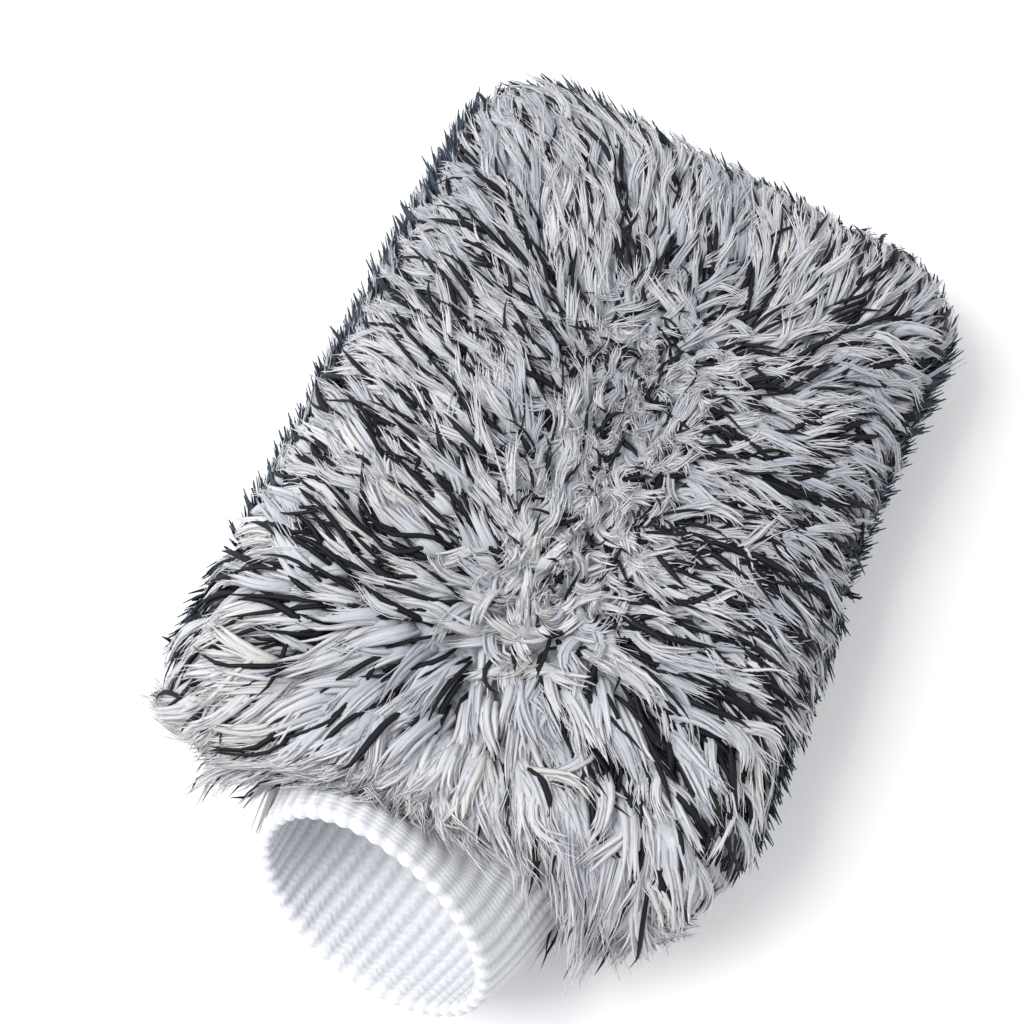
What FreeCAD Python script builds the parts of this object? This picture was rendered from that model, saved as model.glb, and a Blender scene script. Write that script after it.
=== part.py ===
"""Plush wash mitt worn on one hand: two plush panels, a lining, a double rib-knit cuff and its seams.

The mitt lies palm down. +Y points to the fingertips, +Z out of the back of the hand, X across the hand.
The origin is at the middle of the whole mitt's footprint, on the face it rests on. Millimetres.
"""

import FreeCAD, Part
import math
import os

from FreeCAD import Vector

# Hand pocket, the hollow that the lining encloses
POCKET_WIDTH = 142.0
POCKET_LENGTH = 202.0
POCKET_HEIGHT = 26.0
POCKET_CORNER = 14.0
POCKET_EDGE = 9.0

# Layers, from the pocket outwards
LINER_THICKNESS = 1.0
LINER_SIDE_GAP = 2.0
CLOTH_GAP = 0.4
GROUND_THICKNESS = 1.2
PILE_DEPTH = 16.0
PILE_SIDE_DEPTH = 19.4
PILE_CORNER = 27.0
PILE_EDGE = 24.0

# Edge seam between the back half and the palm half
HALF_GAP = 0.4
THREAD_DIAMETER = 0.8
STITCH_HEIGHT = 4.0
STITCH_PITCH = 6.0
SEAM_GROOVE = 1.6

# Rib cuff: an oval tube of knit folded double, its fold at the wrist end
CUFF_BURIED = 17.0
CUFF_BEND_LENGTH = 16.0
CUFF_FREE_LENGTH = 13.0
CUFF_TILT = math.radians(34.0)
CUFF_LEAN = math.radians(15.0)
CUFF_BASE_HALF_WIDTH = 50.0
CUFF_BASE_HALF_HEIGHT = 20.0
CUFF_RIM_HALF_WIDTH = 39.5
CUFF_RIM_HALF_HEIGHT = 33.5
CUFF_PLY = 1.6
CUFF_SLOT = 1.6
CUFF_RIM_DEPTH = 4.0
CUFF_CLEARANCE = 2.0
TUNNEL_RUN_OUT = 22.0
CUFF_STATIONS = 9
CENTRE_LINE_STEPS = 40
CUT_PAST = 1.0
JOIN_STITCH_LENGTH = 4.0
JOIN_STITCHES = 48

# Elastic yarns laid between the two plies of the cuff
ELASTIC_DIAMETER = 0.8
ELASTIC_RINGS = 7

# Worked out from the above
LINER_WIDTH = POCKET_WIDTH + 2 * LINER_THICKNESS
LINER_LENGTH = POCKET_LENGTH + 2 * LINER_THICKNESS
LINER_HEIGHT = POCKET_HEIGHT + 2 * LINER_THICKNESS
GROUND_INSIDE_WIDTH = LINER_WIDTH + 2 * LINER_SIDE_GAP
GROUND_INSIDE_LENGTH = LINER_LENGTH + 2 * LINER_SIDE_GAP
GROUND_INSIDE_HEIGHT = LINER_HEIGHT + 2 * CLOTH_GAP
GROUND_WIDTH = GROUND_INSIDE_WIDTH + 2 * GROUND_THICKNESS
GROUND_LENGTH = GROUND_INSIDE_LENGTH + 2 * GROUND_THICKNESS
GROUND_HEIGHT = GROUND_INSIDE_HEIGHT + 2 * GROUND_THICKNESS
PILE_INSIDE_WIDTH = GROUND_WIDTH + 2 * CLOTH_GAP
PILE_INSIDE_LENGTH = GROUND_LENGTH + 2 * CLOTH_GAP
PILE_INSIDE_HEIGHT = GROUND_HEIGHT + 2 * CLOTH_GAP
PILE_WIDTH = PILE_INSIDE_WIDTH + 2 * PILE_SIDE_DEPTH
PILE_LENGTH = PILE_INSIDE_LENGTH + 2 * PILE_SIDE_DEPTH
PILE_HEIGHT = PILE_INSIDE_HEIGHT + 2 * PILE_DEPTH
MID_HEIGHT = PILE_HEIGHT / 2
MOUTH_Y = -GROUND_LENGTH / 2 - CLOTH_GAP
CUFF_LENGTH = CUFF_BURIED + CUFF_BEND_LENGTH + CUFF_FREE_LENGTH
CUFF_WALL = 2 * CUFF_PLY + CUFF_SLOT
GROUND_CORNER_GROWTH = LINER_THICKNESS + LINER_SIDE_GAP


def pillow(width, length, height, corner, edge):
    """A box on the middle height with rounded upright corners and rounded upper and lower edges."""
    low = Vector(-width / 2, -length / 2, MID_HEIGHT - height / 2)
    block = Part.makeBox(width, length, height, low)
    upright = [e for e in block.Edges if abs(e.tangentAt(e.FirstParameter).z) > 0.5]
    block = block.makeFillet(corner, upright)
    flat = [e for e in block.Edges if e.BoundBox.ZLength < 0.01]
    return block.makeFillet(edge, flat)


def half_space(top):
    """A large block above or below the seam, half the seam gap away from it."""
    size = 2 * PILE_LENGTH
    side = 1 if top else -1
    low_z = MID_HEIGHT + side * HALF_GAP / 2 - (0 if top else size)
    return Part.makeBox(size, size, size, Vector(-size / 2, -size / 2, low_z))


def cuff_heading(distance):
    """The way the cuff's centre line runs at a distance from its base, and its lean there."""
    turned = min(max((distance - CUFF_BURIED / 2) / (CUFF_BURIED / 2 + CUFF_BEND_LENGTH), 0.0), 1.0)
    tilt = CUFF_TILT * turned
    lean = CUFF_LEAN * turned
    along = Vector(-math.sin(lean) * math.cos(tilt), -math.cos(lean) * math.cos(tilt), math.sin(tilt))
    return along, lean


def cuff_frame(distance):
    """Centre, across and up directions of the cuff at a distance along its centre line from its base."""
    centre = Vector(0, MOUTH_Y, MID_HEIGHT)
    step = distance / CENTRE_LINE_STEPS
    for i in range(CENTRE_LINE_STEPS):
        centre = centre + cuff_heading((i + 0.5) * step)[0] * step
    along, lean = cuff_heading(distance)
    across = Vector(math.cos(lean), -math.sin(lean), 0)
    up = across.cross(along) * -1
    return centre, across, up


def cuff_oval(distance, grow):
    """The cuff's oval at a distance from its base, as a closed wire, grown or shrunk by an offset."""
    centre, across, up = cuff_frame(distance)
    opened = min(max(distance / CUFF_LENGTH, 0.0), 1.0)
    half_width = CUFF_BASE_HALF_WIDTH + (CUFF_RIM_HALF_WIDTH - CUFF_BASE_HALF_WIDTH) * opened + grow
    half_height = CUFF_BASE_HALF_HEIGHT + (CUFF_RIM_HALF_HEIGHT - CUFF_BASE_HALF_HEIGHT) * opened + grow
    oval = Part.Ellipse(centre + across * half_width, centre + up * half_height, centre)
    return Part.Wire([oval.toShape()])


def cuff_tube(start, end, grow):
    """A solid tube of the cuff's oval section between two distances from its base."""
    gaps = CUFF_STATIONS - 1
    ovals = [cuff_oval(start + (end - start) * i / gaps, grow) for i in range(CUFF_STATIONS)]
    return Part.makeLoft(ovals, True, False)


def mouth_bore(grow):
    """A straight oval plug through the wall at the wrist end of the panels and the lining."""
    depth = LINER_SIDE_GAP + GROUND_THICKNESS + 3 * LINER_THICKNESS
    face = Part.Face(cuff_oval(0, grow))
    return face.extrude(Vector(0, 2 * depth, 0))


def seam_path(width, length, corner):
    """Points along the sides and the fingertip end of a rounded outline, one stitch apart."""
    x = width / 2
    y = length / 2
    turn = corner * (1 - math.sqrt(0.5))
    left = Part.LineSegment(Vector(-x, -y + corner, 0), Vector(-x, y - corner, 0)).toShape()
    left_arc = Part.Arc(Vector(-x, y - corner, 0), Vector(-x + turn, y - turn, 0), Vector(-x + corner, y, 0))
    top = Part.LineSegment(Vector(-x + corner, y, 0), Vector(x - corner, y, 0)).toShape()
    right_arc = Part.Arc(Vector(x - corner, y, 0), Vector(x - turn, y - turn, 0), Vector(x, y - corner, 0))
    right = Part.LineSegment(Vector(x, y - corner, 0), Vector(x, -y + corner, 0)).toShape()
    path = Part.Wire([left, left_arc.toShape(), top, right_arc.toShape(), right])
    return path.discretize(Number=int(path.Length / STITCH_PITCH))


def upright_stitches(points):
    """Short upright threads across the seam, one at each point."""
    radius = THREAD_DIAMETER / 2
    low = MID_HEIGHT - STITCH_HEIGHT / 2
    return [Part.makeCylinder(radius, STITCH_HEIGHT, Vector(p.x, p.y, low)) for p in points]


def panel(outside, inside, cutters, top):
    """One half of a closed shell, above or below the seam, with its openings cut."""
    shell = outside.cut(inside)
    for cutter in cutters:
        shell = shell.cut(cutter)
    return shell.common(half_space(top))


def rib_cuff():
    """The knit tube: an outer and an inner ply, joined by the fold at the wrist end."""
    tube = cuff_tube(0, CUFF_LENGTH, 0)
    bore = cuff_tube(-CUT_PAST, CUFF_LENGTH + CUT_PAST, -CUFF_WALL)
    slot_end = CUFF_LENGTH - CUFF_RIM_DEPTH
    slot_outside = cuff_tube(-CUT_PAST, slot_end, -CUFF_PLY)
    slot_inside = cuff_tube(-CUT_PAST, slot_end, -CUFF_PLY - CUFF_SLOT)
    return tube.cut(bore).cut(slot_outside.cut(slot_inside))


def elastic_yarns():
    """Rings of elastic yarn in the slot between the plies, evenly spaced along the cuff."""
    radius = ELASTIC_DIAMETER / 2
    first = CUFF_BURIED
    pitch = (CUFF_LENGTH - CUFF_RIM_DEPTH - 3 * ELASTIC_DIAMETER - first) / (ELASTIC_RINGS - 1)
    rings = []
    for i in range(ELASTIC_RINGS):
        distance = first + pitch * i
        path = cuff_oval(distance, -CUFF_PLY - CUFF_SLOT / 2)
        edge = path.Edges[0]
        start = edge.valueAt(edge.FirstParameter)
        profile = Part.Wire([Part.makeCircle(radius, start, edge.tangentAt(edge.FirstParameter))])
        rings.append(path.makePipeShell([profile], True, True))
    return rings


def join_stitches():
    """Short threads around the base of the cuff, over its seam with the panels."""
    radius = THREAD_DIAMETER / 2
    oval = cuff_oval(0, CUFF_CLEARANCE / 2)
    points = oval.discretize(Number=JOIN_STITCHES + 1)[:-1]
    toward_wrist = Vector(0, -1, 0)
    start = Vector(0, -CLOTH_GAP, 0)
    return [Part.makeCylinder(radius, JOIN_STITCH_LENGTH, p + start, toward_wrist) for p in points]


def build():
    """Every piece of the mitt, by node name, about the middle of its body."""
    pocket = pillow(POCKET_WIDTH, POCKET_LENGTH, POCKET_HEIGHT, POCKET_CORNER, POCKET_EDGE)
    liner_corner = POCKET_CORNER + LINER_THICKNESS
    liner_edge = POCKET_EDGE + LINER_THICKNESS
    liner = pillow(LINER_WIDTH, LINER_LENGTH, LINER_HEIGHT, liner_corner, liner_edge)
    inside_corner = POCKET_CORNER + GROUND_CORNER_GROWTH
    ground_inside = pillow(
        GROUND_INSIDE_WIDTH, GROUND_INSIDE_LENGTH, GROUND_INSIDE_HEIGHT, inside_corner, liner_edge + CLOTH_GAP
    )
    ground_corner = inside_corner + GROUND_THICKNESS
    ground_edge = liner_edge + CLOTH_GAP + GROUND_THICKNESS
    ground = pillow(GROUND_WIDTH, GROUND_LENGTH, GROUND_HEIGHT, ground_corner, ground_edge)
    pile_inside = pillow(
        PILE_INSIDE_WIDTH, PILE_INSIDE_LENGTH, PILE_INSIDE_HEIGHT, ground_corner + CLOTH_GAP, ground_edge + CLOTH_GAP
    )
    pile = pillow(PILE_WIDTH, PILE_LENGTH, PILE_HEIGHT, PILE_CORNER, PILE_EDGE)

    groove_edge = STITCH_HEIGHT / 2 - CLOTH_GAP
    groove = pillow(
        GROUND_WIDTH + 2 * SEAM_GROOVE,
        GROUND_LENGTH + 2 * SEAM_GROOVE,
        STITCH_HEIGHT + 2 * CLOTH_GAP,
        ground_corner + SEAM_GROOVE,
        groove_edge,
    )
    tunnel = cuff_tube(-GROUND_THICKNESS, CUFF_BURIED + TUNNEL_RUN_OUT, CUFF_CLEARANCE)
    mouth = mouth_bore(-CUFF_WALL)

    seam_offset = THREAD_DIAMETER + CLOTH_GAP / 2
    edge_points = seam_path(GROUND_WIDTH + seam_offset, GROUND_LENGTH + seam_offset, ground_corner)
    liner_points = seam_path(LINER_WIDTH + LINER_SIDE_GAP, LINER_LENGTH + LINER_SIDE_GAP, liner_corner)

    pieces = {}
    for half, top in (("back", True), ("palm", False)):
        pieces[half + "_pile"] = panel(pile, pile_inside, [groove, tunnel], top)
        pieces[half + "_ground_cloth"] = panel(ground, ground_inside, [mouth], top)
        pieces[half + "_liner"] = panel(liner, pocket, [mouth], top)
    pieces["rib_cuff"] = rib_cuff()
    pieces["cuff_elastic_yarns"] = Part.makeCompound(elastic_yarns())
    pieces["edge_seam_stitches"] = Part.makeCompound(upright_stitches(edge_points))
    pieces["liner_seam_stitches"] = Part.makeCompound(upright_stitches(liner_points))
    pieces["cuff_join_stitches"] = Part.makeCompound(join_stitches())
    return pieces


def main():
    pieces = build()
    whole = Part.makeCompound(list(pieces.values())).optimalBoundingBox(False, False)
    to_origin = Vector(-(whole.XMin + whole.XMax) / 2, -(whole.YMin + whole.YMax) / 2, -whole.ZMin)
    os.makedirs("parts", exist_ok=True)
    for name, shape in pieces.items():
        shape.translate(to_origin)
        shape.exportStep("parts/" + name + ".step")
        box = shape.optimalBoundingBox(False, False)
        print(name, len(shape.Solids), "solids, valid:", shape.isValid())
        print("    from", [round(v, 1) for v in (box.XMin, box.YMin, box.ZMin)])
        print("    to", [round(v, 1) for v in (box.XMax, box.YMax, box.ZMax)])


main()
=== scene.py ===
"""A plush wash mitt, lying palm down: long pile on knitted ground cloth, a lining and a rib-knit cuff.

Shapes are worked out in millimetres, in the frame's own axes, and turned to metres as each mesh is made.
"""

import math

import bpy
import numpy as np
from mathutils import Matrix, Vector


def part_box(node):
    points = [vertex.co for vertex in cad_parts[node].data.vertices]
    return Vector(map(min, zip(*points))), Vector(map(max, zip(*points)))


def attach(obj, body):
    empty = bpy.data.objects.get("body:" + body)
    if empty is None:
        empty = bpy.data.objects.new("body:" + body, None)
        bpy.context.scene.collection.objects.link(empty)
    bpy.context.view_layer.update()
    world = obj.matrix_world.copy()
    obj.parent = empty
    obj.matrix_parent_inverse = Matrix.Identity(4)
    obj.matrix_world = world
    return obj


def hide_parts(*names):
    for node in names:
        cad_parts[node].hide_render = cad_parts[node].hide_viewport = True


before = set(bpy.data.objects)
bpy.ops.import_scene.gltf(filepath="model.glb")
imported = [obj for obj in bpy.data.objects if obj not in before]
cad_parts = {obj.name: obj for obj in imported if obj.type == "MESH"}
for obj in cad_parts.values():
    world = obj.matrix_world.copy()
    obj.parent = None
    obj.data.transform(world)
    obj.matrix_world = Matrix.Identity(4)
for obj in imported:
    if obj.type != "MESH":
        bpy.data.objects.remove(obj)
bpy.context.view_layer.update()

MM = 0.001
# A mesh piece with more triangles than this is made as several, so that each one exports whole
MOST_TRIANGLES = 190000
rng = np.random.default_rng(29)


# ---------------------------------------------------------------- sizes, from the frame


def box_mm(node):
    low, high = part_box(node)
    return np.array(low) / MM, np.array(high) / MM


CLOTH_LOW = box_mm("palm_ground_cloth")[0]
CLOTH_HIGH = box_mm("back_ground_cloth")[1]
PILE_LOW = box_mm("palm_pile")[0]
PILE_HIGH = box_mm("back_pile")[1]
LINER_LOW = box_mm("palm_liner")[0]
LINER_HIGH = box_mm("back_liner")[1]
BODY_MIDDLE = (CLOTH_LOW + CLOTH_HIGH) / 2
CLOTH_HALF = (CLOTH_HIGH - CLOTH_LOW) / 2
LINER_HALF = (LINER_HIGH - LINER_LOW) / 2
PILE_HALF = (PILE_HIGH - PILE_LOW) / 2

# Radii of each bag's outline corners and of its edges round the hand, and how thick its cloth is
CLOTH_CORNER = 18.0
CLOTH_EDGE = 12.0
CLOTH_THICKNESS = 1.2
LINER_CORNER = 15.0
LINER_EDGE = 10.0
LINER_THICKNESS = 0.9

# The cuff as its CAD solid has it: lengths in the body, round the bend and free, the half sizes of its oval
# at the base and the rim, the thickness of its wall and of one ply, and how deep the furrows are
CUFF_BURIED = 17.0
CUFF_BEND = 16.0
CUFF_FREE = 13.0
CUFF_LENGTH = CUFF_BURIED + CUFF_BEND + CUFF_FREE
CUFF_TILT = math.radians(34.0)
CUFF_LEAN = math.radians(15.0)
CUFF_BASE_HALF = (50.0, 20.0)
CUFF_RIM_HALF = (39.5, 33.5)
CUFF_WALL = 4.8
CUFF_PLY = 1.5
RIB_DEPTH = 0.6
CUFF_BASE = np.array([0.0, CLOTH_LOW[1] - 0.4, BODY_MIDDLE[2]])


# ---------------------------------------------------------------- shape of the body and the cuff


def unit(v):
    return v / np.maximum(np.linalg.norm(v, axis=-1, keepdims=True), 1e-9)


def ease(x):
    x = np.clip(x, 0.0, 1.0)
    return x * x * (3.0 - 2.0 * x)


def pillow_distance(p, half, corner, edge):
    """How far points about the body's middle lie outside a pillow with rounded corners and edges."""
    qx = np.abs(p[..., 0]) - (half[0] - corner)
    qy = np.abs(p[..., 1]) - (half[1] - corner)
    outline = np.hypot(np.maximum(qx, 0), np.maximum(qy, 0)) + np.minimum(np.maximum(qx, qy), 0) - corner
    w1 = outline + edge
    w2 = np.abs(p[..., 2]) - (half[2] - edge)
    return np.hypot(np.maximum(w1, 0), np.maximum(w2, 0)) + np.minimum(np.maximum(w1, w2), 0) - edge


def cloth_distance(p):
    """How far points about the body's middle lie outside the ground cloth."""
    return pillow_distance(p, CLOTH_HALF, CLOTH_CORNER, CLOTH_EDGE)


def cuff_line(stations):
    """Centres, across, up and along directions, and oval half sizes, at distances from the cuff's base."""
    fine = np.linspace(0.0, CUFF_LENGTH, 131)
    turned = ease((fine - CUFF_BURIED / 4) / (0.75 * CUFF_BURIED + CUFF_BEND + CUFF_FREE / 2))
    tilt = CUFF_TILT * turned
    lean = CUFF_LEAN * turned
    along = np.stack([-np.sin(lean) * np.cos(tilt), -np.cos(lean) * np.cos(tilt), np.sin(tilt)], axis=1)
    steps = np.diff(fine)[:, None] * (along[1:] + along[:-1]) / 2
    centres = CUFF_BASE + np.concatenate([np.zeros((1, 3)), np.cumsum(steps, axis=0)])
    across = np.stack([np.cos(lean), -np.sin(lean), 0 * lean], axis=1)
    up = np.cross(along, across)
    opened = (fine / CUFF_LENGTH)[:, None]
    half = np.array(CUFF_BASE_HALF) * (1 - opened) + np.array(CUFF_RIM_HALF) * opened
    rows = np.concatenate([centres, across, up, along, half], axis=1)
    picked = np.stack([np.interp(stations, fine, column) for column in rows.T], axis=-1)
    return np.split(picked, [3, 6, 9, 12], axis=-1)


# Stations along the cuff that distances are taken from, and how far past one a point is still beside it
CUFF_STATIONS = np.linspace(0.0, CUFF_LENGTH, 27)
STATION_REACH = 2.0
CUFF_CENTRES, CUFF_ACROSS, CUFF_UP, CUFF_ALONG, CUFF_HALF = cuff_line(CUFF_STATIONS)


def cuff_distance(p):
    """About how far points in the row frame lie outside the cuff's oval tube."""
    flat = p.reshape(-1, 3)
    gap = flat[:, None, 1:] - CUFF_CENTRES[None, :, 1:]
    behind = np.abs((gap * CUFF_ALONG[None, :, 1:]).sum(-1))
    near = behind.argmin(axis=1)
    away = flat - CUFF_CENTRES[near]
    u = (away * CUFF_ACROSS[near]).sum(-1)
    v = (away * CUFF_UP[near]).sum(-1)
    share = np.hypot(u / CUFF_HALF[near, 0], v / CUFF_HALF[near, 1])
    radial = np.hypot(u, v) * (1 - 1 / np.maximum(share, 0.05))
    past_end = np.maximum(behind.min(axis=1) - STATION_REACH, 0.0)
    distance = np.hypot(np.maximum(radial, 0), past_end) + np.minimum(radial, 0)
    return distance.reshape(p.shape[:-1])


def skin_distance(p):
    """Distance from ground cloth and cuff together, with a soft fillet where one meets the other."""
    fillet = 9.0
    body = cloth_distance(p - BODY_MIDDLE)
    cuff = cuff_distance(p)
    mix = np.clip(0.5 + 0.5 * (cuff - body) / fillet, 0.0, 1.0)
    return cuff * (1 - mix) + body * mix - fillet * mix * (1 - mix)


def normal_of(distance, p):
    """The way in which a distance grows fastest, at each point."""
    probe = 0.4
    corners = np.array([[1, -1, -1], [-1, -1, 1], [-1, 1, -1], [1, 1, 1]], float)
    return unit(sum(c * distance(p + probe * c)[..., None] for c in corners))


# The mitt as it hangs on a hand: how far the wrist edge is skewed, how deep the waist on its right side is,
# at what share of the half length and over what share of it, and how much the back rises to its crown
WRIST_SKEW = 11.0
WAIST_DEPTH = 3.5
WAIST_PLACE = 0.25
WAIST_LENGTH = 0.28
CROWN_RISE = 5.0


def worn_shape(p):
    """Bends straight-built points into the worn mitt: a crown, a skewed wrist edge, a waist."""
    q = p.copy()
    x = (p[..., 0] - BODY_MIDDLE[0]) / PILE_HALF[0]
    y = (p[..., 1] - BODY_MIDDLE[1]) / PILE_HALF[1]
    off_cuff = 30.0
    on_body = ease((p[..., 1] - CUFF_BASE[1] + off_cuff) / off_cuff)
    wrist = ease(-y / 1.1) * on_body
    q[..., 1] += WRIST_SKEW * x * wrist
    waist = np.exp(-(((y - WAIST_PLACE) / WAIST_LENGTH) ** 2))
    q[..., 0] -= WAIST_DEPTH * waist * ease((x - 0.2) / 0.8)
    crown = (1 - np.clip(np.abs(x), 0, 1) ** 2.4) * (1 - np.clip(np.abs(y), 0, 1) ** 2.8)
    above = np.clip((p[..., 2] - BODY_MIDDLE[2]) / PILE_HALF[2], 0, 1)
    q[..., 2] += above * (CROWN_RISE * crown - CROWN_RISE)
    return q


# ---------------------------------------------------------------- meshes


def finish_piece(mesh_name, verts, loops, starts, attributes, material):
    """Makes one smooth mesh object from arrays, with its points in millimetres, riding on the mitt."""
    mesh = bpy.data.meshes.new(mesh_name)
    mesh.vertices.add(len(verts))
    mesh.vertices.foreach_set("co", (verts * MM).astype(np.float32).ravel())
    mesh.loops.add(len(loops))
    mesh.loops.foreach_set("vertex_index", loops.astype(np.int32))
    mesh.polygons.add(len(starts))
    mesh.polygons.foreach_set("loop_start", starts.astype(np.int32))
    mesh.polygons.foreach_set("use_smooth", np.ones(len(starts), bool))
    mesh.update(calc_edges=True)
    for name, values in attributes.items():
        layer = mesh.attributes.new(name, "FLOAT", "POINT")
        layer.data.foreach_set("value", values.astype(np.float32).ravel())
    piece = bpy.data.objects.new(mesh_name, mesh)
    bpy.context.scene.collection.objects.link(piece)
    mesh.materials.append(material)
    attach(piece, "root")
    return piece


def grid_faces(rows, columns, wrap_rows=False):
    """Quads over a grid of points whose columns close into a ring, and whose rows may too."""
    r = np.arange(rows if wrap_rows else rows - 1)
    c = np.arange(columns)
    low, high = np.meshgrid(r, c, indexing="ij")
    next_row = (low + 1) % rows
    next_column = (high + 1) % columns
    quads = [low * columns + high, low * columns + next_column, next_row * columns + next_column]
    return np.stack(quads + [next_row * columns + high], axis=-1).reshape(-1, 4)


# How far a strand's closed ends stand out past its first and last rings
ROOT_CAP = 0.2
TIP_CAP = 0.3


def tubes(name, paths, across, half_widths, flatness, sides, attributes, material):
    """Tapering closed strands along paths, as one mesh piece for every few thousand strands."""
    count, stations = paths.shape[:2]
    tangent = unit(np.gradient(paths, axis=1))
    side = unit(across - (across * tangent).sum(-1, keepdims=True) * tangent)
    top = np.cross(tangent, side)
    angle = 2 * math.pi * np.arange(sides) / sides
    wide = side[:, :, None] * np.cos(angle)[None, None, :, None]
    deep = top[:, :, None] * np.sin(angle)[None, None, :, None] * flatness
    rings = paths[:, :, None] + (wide + deep) * half_widths[:, :, None, None]
    root_point = paths[:, 0] - tangent[:, 0] * ROOT_CAP
    tip_point = paths[:, -1] + tangent[:, -1] * TIP_CAP
    ends = np.stack([root_point, tip_point], axis=1)
    block = stations * sides + 2
    verts = worn_shape(np.concatenate([rings.reshape(count, -1, 3), ends], axis=1))
    verts[..., 2] = above_floor(verts[..., 2])

    quads = grid_faces(stations, sides)[:, ::-1]
    j = np.arange(sides)
    root, tip = block - 2, block - 1
    last = (stations - 1) * sides
    root_fan = np.stack([np.full(sides, root), j, (j + 1) % sides], axis=1)[:, ::-1]
    tip_fan = np.stack([np.full(sides, tip), last + (j + 1) % sides, last + j], axis=1)[:, ::-1]
    fans = np.concatenate([root_fan, tip_fan])
    along = np.concatenate([np.repeat(np.linspace(0, 1, stations), sides), [0.0, 1.0]])
    around = np.concatenate([np.tile(np.arange(sides) / sides, stations), [0.0, 0.0]])

    each = 2 * len(quads) + len(fans)
    chunk = MOST_TRIANGLES // each
    pieces = []
    for number, first in enumerate(range(0, count, chunk)):
        part = slice(first, min(first + chunk, count))
        n = part.stop - part.start
        shift = (np.arange(n) * block)[:, None, None]
        quad_loops = (quads[None] + shift).reshape(-1)
        fan_loops = (fans[None] + shift).reshape(-1)
        starts = np.concatenate(
            [np.arange(n * len(quads)) * 4, len(quad_loops) + np.arange(n * len(fans)) * 3]
        )
        point_values = {"along": np.tile(along, n), "around": np.tile(around, n)}
        for key, values in attributes.items():
            point_values[key] = np.repeat(values[part], block)
        loops = np.concatenate([quad_loops, fan_loops])
        title = f"{name}_{number + 1}"
        points = verts[part].reshape(-1, 3)
        pieces.append(finish_piece(title, points, loops, starts, point_values, material))
    return pieces


def rounded_ring(half_x, half_y, corner, per_corner, per_side):
    """Points round a rounded rectangle, the same number on each side and corner whatever its size."""
    points = []
    turn = np.linspace(0, math.pi / 2, per_corner, endpoint=False)
    run = np.linspace(0, 1, per_side, endpoint=False)[:, None]
    centres = [(1, 1), (-1, 1), (-1, -1), (1, -1)]
    for i, (sx, sy) in enumerate(centres):
        centre = np.array([sx * (half_x - corner), sy * (half_y - corner)])
        angle = turn + i * math.pi / 2
        points.append(centre + corner * np.stack([np.cos(angle), np.sin(angle)], axis=1))
        stop = (i + 1) * math.pi / 2
        start_point = centre + corner * np.array([math.cos(stop), math.sin(stop)])
        next_sx, next_sy = centres[(i + 1) % 4]
        ahead = np.array([next_sx * (half_x - corner), next_sy * (half_y - corner)])
        end_point = ahead + corner * np.array([math.cos(stop), math.sin(stop)])
        points.append(start_point + (end_point - start_point) * run)
    return np.concatenate(points)


def bag_mesh(half, corner, edge, top, per_corner, per_side, flat_rings):
    """Half of a closed bag, from its seam over its rounded edge to its middle: points, quads and a cap."""
    sign = 1.0 if top else -1.0
    seam_gap = 0.3
    cap_half = 2.0
    least_corner = 1.5
    lower = [(0.0, z) for z in np.linspace(seam_gap, half[2] - edge, 3)]
    over = [
        (edge * (1 - math.cos(a)), half[2] - edge + edge * math.sin(a))
        for a in np.linspace(0, math.pi / 2, 9)[1:]
    ]
    flat = [(inset, half[2]) for inset in np.linspace(edge, half[0] - cap_half, flat_rings + 1)[1:]]
    rings = []
    for inset, z in lower + over + flat:
        rounding = max(corner - inset, least_corner)
        ring = rounded_ring(half[0] - inset, half[1] - inset, rounding, per_corner, per_side)
        rings.append(np.column_stack([ring, np.full(len(ring), sign * z)]))
    columns = len(rings[0])
    quads = grid_faces(len(rings), columns)
    cap = np.arange(columns) + (len(rings) - 1) * columns
    if not top:
        return np.concatenate(rings), quads[:, ::-1], cap[::-1]
    return np.concatenate(rings), quads, cap


def edge_points(quads, kept):
    """Points that lie on the cut edge between the quads that are kept and those that are cut away."""
    return np.intersect1d(quads[kept], quads[~kept])


def cut_cloth(name, points, quads, cap, thickness, material):
    """Cloth with a real thickness inwards, from the quads that are left after a cut and a middle cap."""
    loops = np.concatenate([quads.ravel(), cap])
    starts = np.concatenate([np.arange(len(quads)) * 4, [quads.size]])
    piece = finish_piece(name, points, loops, starts, {}, material)
    shell = piece.modifiers.new("cloth_thickness", "SOLIDIFY")
    shell.thickness = thickness * MM
    shell.offset = -1.0
    return piece


def above_floor(z):
    """Presses points that would go through the resting face into a thin layer just above it."""
    layer = 4.0
    pressed = layer * np.exp(np.minimum(z - layer, 0.0) / layer)
    return np.where(z < layer, pressed, z)


# ---------------------------------------------------------------- growing the pile

# Ends of the parting that the pile is combed away from, from the body's middle
PARTING_FINGERS = np.array([-1.0, 40.0])
PARTING_WRIST = np.array([2.0, -47.0])

# How the pile is swept besides: over the fingertips, up the left side, down the right, hanging at the wrist,
# and towards the seam on the edges round the hand
TIP_SWEEP = np.array([-0.45, 0.0])
LEFT_SWEEP = np.array([0.0, 0.5])
RIGHT_SWEEP = np.array([0.0, -0.2])
HANG = np.array([0.34, -0.62])
TO_SEAM = 0.45
WAVES = [(rng.normal(size=2) * 0.16, rng.uniform(0, 2 * math.pi)) for _ in range(9)]


def from_parting(p):
    """Away-from-the-parting directions in plan, and distances, of points in the row frame."""
    xy = p[..., :2] - BODY_MIDDLE[:2]
    line = PARTING_FINGERS - PARTING_WRIST
    share = np.clip(((xy - PARTING_WRIST) * line).sum(-1) / (line @ line), 0, 1)
    away = xy - (PARTING_WRIST + share[..., None] * line)
    return unit(away), np.linalg.norm(away, axis=-1)


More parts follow.
